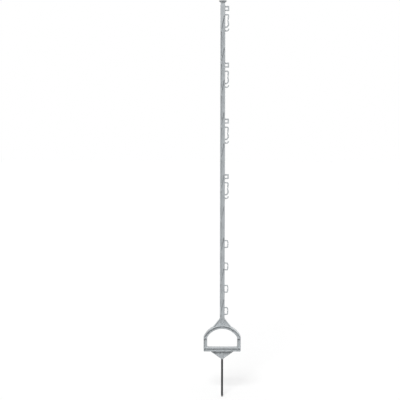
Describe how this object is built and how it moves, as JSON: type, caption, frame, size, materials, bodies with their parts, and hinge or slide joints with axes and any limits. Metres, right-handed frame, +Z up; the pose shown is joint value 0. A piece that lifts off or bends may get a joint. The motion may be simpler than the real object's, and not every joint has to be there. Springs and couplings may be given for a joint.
{
  "type": "step-in fence post",
  "caption": "Tall moulded plastic fence post with a stirrup to tread on, side eyelets for wire, rope and tape, and a steel ground spike.",
  "frame": {"origin": "the point of the spike, on its axis, at the lowest point of the post", "axes": "+Z up along the shaft; +X towards the side that carries the eyelets; +Y from the front to the back, square to the plane of the stirrup"},
  "size_m": [0.1466, 0.03, 1.55],
  "materials": {
    "moulded_plastic": "light cool grey, satin",
    "spike_steel": "dark, unpolished"
  },
  "bodies": {
    "root": {"moulded_post": "moulded_plastic", "steel_spike": "spike_steel"}
  },
  "joints": []
}
